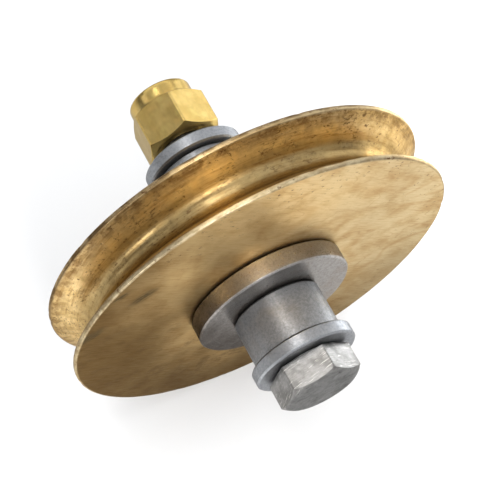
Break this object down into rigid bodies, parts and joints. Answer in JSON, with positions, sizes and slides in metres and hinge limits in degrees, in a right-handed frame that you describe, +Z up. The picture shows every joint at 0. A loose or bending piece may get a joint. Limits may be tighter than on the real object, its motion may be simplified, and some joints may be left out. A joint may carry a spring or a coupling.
{
  "type": "grooved cable sheave",
  "caption": "Grooved bronze cable sheave on a hex bolt, with thrust washers, spacer tubes, flat washers and a collared lock nut.",
  "frame": {"origin": "centre of the wheel on the bolt's axis, halfway between the wheel's two faces", "axes": "+Y along the bolt from the hex head towards the lock nut; +Z up; +X across the wheel"},
  "size_m": [0.127, 0.1129, 0.127],
  "materials": {
    "bronze_wheel": "satin",
    "bronze_bushing": "satin",
    "thrust_steel": "satin",
    "spacer_steel": "satin",
    "washer_zinc": "satin",
    "bolt_steel": "satin",
    "nut_gold": "gloss",
    "insert_nylon": "satin"
  },
  "bodies": {
    "bolt": {"hex_bolt": "bolt_steel", "lock_nut": "nut_gold", "lock_nut_insert": "insert_nylon"},
    "spacer_stack": {"spacer_head_side": "spacer_steel", "spacer_nut_side": "spacer_steel", "flat_washer_head_side": "washer_zinc", "flat_washer_nut_side": "washer_zinc"},
    "wheel": {"sheave": "bronze_wheel", "bushing": "bronze_bushing"},
    "thrust_washer_head": {"thrust_washer_head_side": "thrust_steel"},
    "thrust_washer_nut": {"thrust_washer_nut_side": "thrust_steel"}
  },
  "joints": [
    {"name": "end_float", "type": "slide", "parent": "bolt", "child": "spacer_stack", "axis": [0, 1, 0], "range_m": [0, 0.0043]},
    {"name": "wheel_spin", "type": "hinge", "parent": "spacer_stack", "child": "wheel", "pos_m": [0, 0, 0], "axis": [0, 1, 0], "continuous": true},
    {"name": "thrust_washer_head_spin", "type": "hinge", "parent": "spacer_stack", "child": "thrust_washer_head", "pos_m": [0, -0.01358, 0], "axis": [0, 1, 0], "continuous": true},
    {"name": "thrust_washer_nut_spin", "type": "hinge", "parent": "spacer_stack", "child": "thrust_washer_nut", "pos_m": [0, 0.01358, 0], "axis": [0, 1, 0], "continuous": true}
  ]
}
